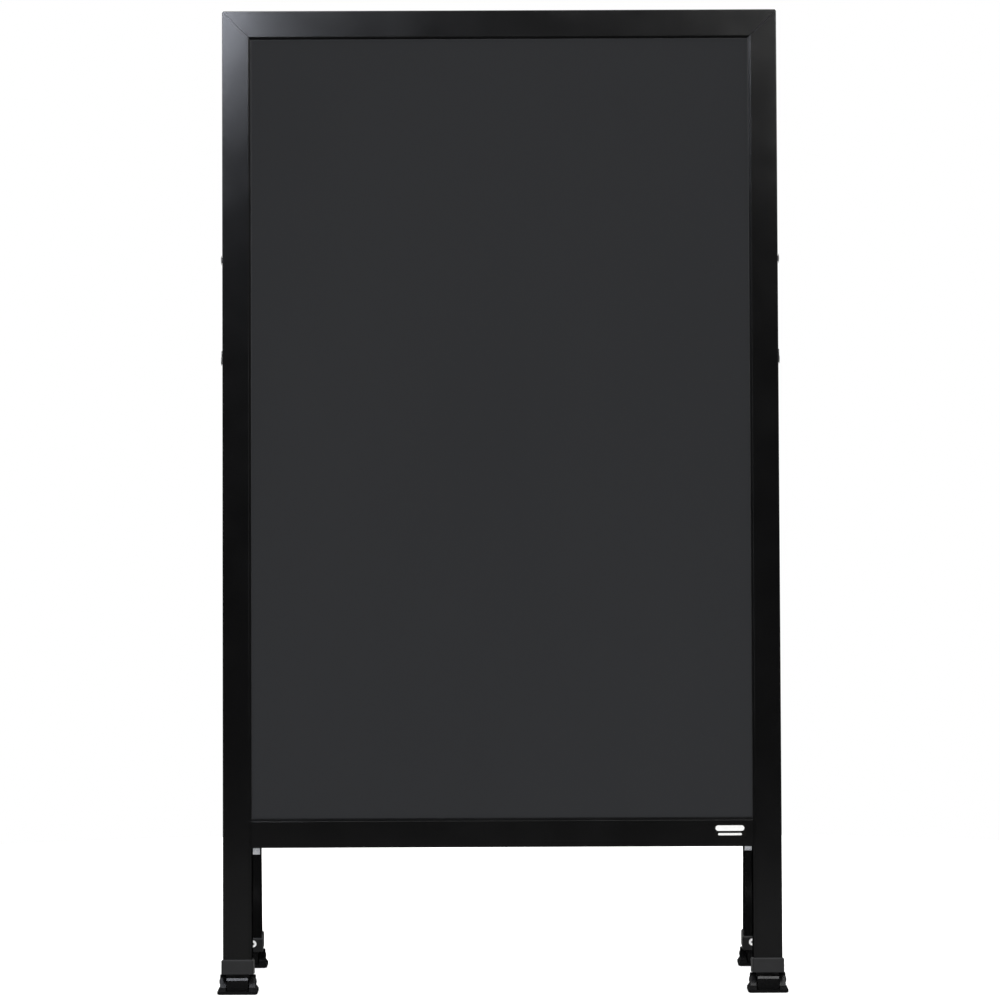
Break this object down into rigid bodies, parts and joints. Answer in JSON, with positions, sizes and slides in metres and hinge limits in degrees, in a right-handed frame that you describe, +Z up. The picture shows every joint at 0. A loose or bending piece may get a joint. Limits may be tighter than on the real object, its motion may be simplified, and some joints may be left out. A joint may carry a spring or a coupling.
{
  "type": "double-sided sidewalk chalkboard sign",
  "caption": "Folding double-sided sidewalk chalkboard sign with a black aluminium frame, hook stays and swivelling shoes.",
  "frame": {"origin": "on the ground under the middle of the board, halfway between the front and rear soles", "axes": "+X to the right as seen from the front, -Y towards the front, +Z up; the fold axis runs along X"},
  "size_m": [0.622, 0.2866, 1.0743],
  "materials": {
    "frame_black": "satin black anodised or powder-coated aluminium",
    "chalkboard": "matt black chalk surface sheet",
    "backing_board": "black-stained hardboard",
    "boot_plastic": "black moulded plastic, light sheen",
    "pad_rubber": "black rubber",
    "zinc": "bright zinc plate",
    "black_steel": "black-coated steel",
    "rivet_metal": "bright aluminium",
    "hinge_steel": "dull zinc plate",
    "key_metal": "mill-finish aluminium",
    "label_card": "black film with two plain pale bars, no lettering"
  },
  "bodies": {
    "front_panel": {"front_left_stile": "frame_black", "front_right_stile": "frame_black", "front_top_rail": "frame_black", "front_bottom_rail": "frame_black", "front_backing_board": "backing_board", "front_chalk_sheet": "chalkboard", "front_left_corner_key": "key_metal", "front_right_corner_key": "key_metal", "front_left_bracket": "zinc", "front_right_bracket": "zinc", "front_bracket_screws": "zinc", "front_left_boot": "boot_plastic", "front_right_boot": "boot_plastic", "front_boot_rivets": "rivet_metal", "front_left_shoe_pin": "boot_plastic", "front_right_shoe_pin": "boot_plastic", "front_stay_studs": "black_steel", "front_left_hinge_leaf": "hinge_steel", "front_right_hinge_leaf": "hinge_steel", "front_hinge_screws": "hinge_steel", "left_hinge_pin": "hinge_steel", "right_hinge_pin": "hinge_steel", "front_label": "label_card"},
    "rear_panel": {"rear_left_stile": "frame_black", "rear_right_stile": "frame_black", "rear_top_rail": "frame_black", "rear_bottom_rail": "frame_black", "rear_backing_board": "backing_board", "rear_chalk_sheet": "chalkboard", "rear_left_corner_key": "key_metal", "rear_right_corner_key": "key_metal", "rear_left_bracket": "zinc", "rear_right_bracket": "zinc", "rear_bracket_screws": "zinc", "rear_left_boot": "boot_plastic", "rear_right_boot": "boot_plastic", "rear_boot_rivets": "rivet_metal", "rear_left_shoe_pin": "boot_plastic", "rear_right_shoe_pin": "boot_plastic", "rear_stay_pivots": "black_steel", "rear_left_hinge_leaf": "hinge_steel", "rear_right_hinge_leaf": "hinge_steel", "rear_hinge_screws": "hinge_steel"},
    "left_stay": {"left_stay": "black_steel"},
    "right_stay": {"right_stay": "black_steel"},
    "front_left_shoe": {"front_left_shoe": "boot_plastic", "front_left_pad": "pad_rubber"},
    "front_right_shoe": {"front_right_shoe": "boot_plastic", "front_right_pad": "pad_rubber"},
    "rear_left_shoe": {"rear_left_shoe": "boot_plastic", "rear_left_pad": "pad_rubber"},
    "rear_right_shoe": {"rear_right_shoe": "boot_plastic", "rear_right_pad": "pad_rubber"}
  },
  "joints": [
    {"name": "fold", "type": "hinge", "parent": "front_panel", "child": "rear_panel", "pos_m": [0, 0, 1.06984], "axis": [-1, 0, 0], "range_deg": [0, 10.5]},
    {"name": "left_stay_swing", "type": "hinge", "parent": "rear_panel", "child": "left_stay", "pos_m": [-0.3056, 0.05882, 0.69255], "axis": [-1, 0, 0], "range_deg": [0, 90]},
    {"name": "right_stay_swing", "type": "hinge", "parent": "rear_panel", "child": "right_stay", "pos_m": [0.3056, 0.05882, 0.69255], "axis": [-1, 0, 0], "range_deg": [0, 90]},
    {"name": "front_left_shoe_tilt", "type": "hinge", "parent": "front_panel", "child": "front_left_shoe", "pos_m": [-0.2892, -0.12133, 0.0123], "axis": [1, 0, 0], "range_deg": [-14, 4]},
    {"name": "front_right_shoe_tilt", "type": "hinge", "parent": "front_panel", "child": "front_right_shoe", "pos_m": [0.2892, -0.12133, 0.0123], "axis": [1, 0, 0], "range_deg": [-14, 4]},
    {"name": "rear_left_shoe_tilt", "type": "hinge", "parent": "rear_panel", "child": "rear_left_shoe", "pos_m": [-0.2892, 0.12133, 0.0123], "axis": [1, 0, 0], "range_deg": [-4, 14]},
    {"name": "rear_right_shoe_tilt", "type": "hinge", "parent": "rear_panel", "child": "rear_right_shoe", "pos_m": [0.2892, 0.12133, 0.0123], "axis": [1, 0, 0], "range_deg": [-4, 14]}
  ]
}
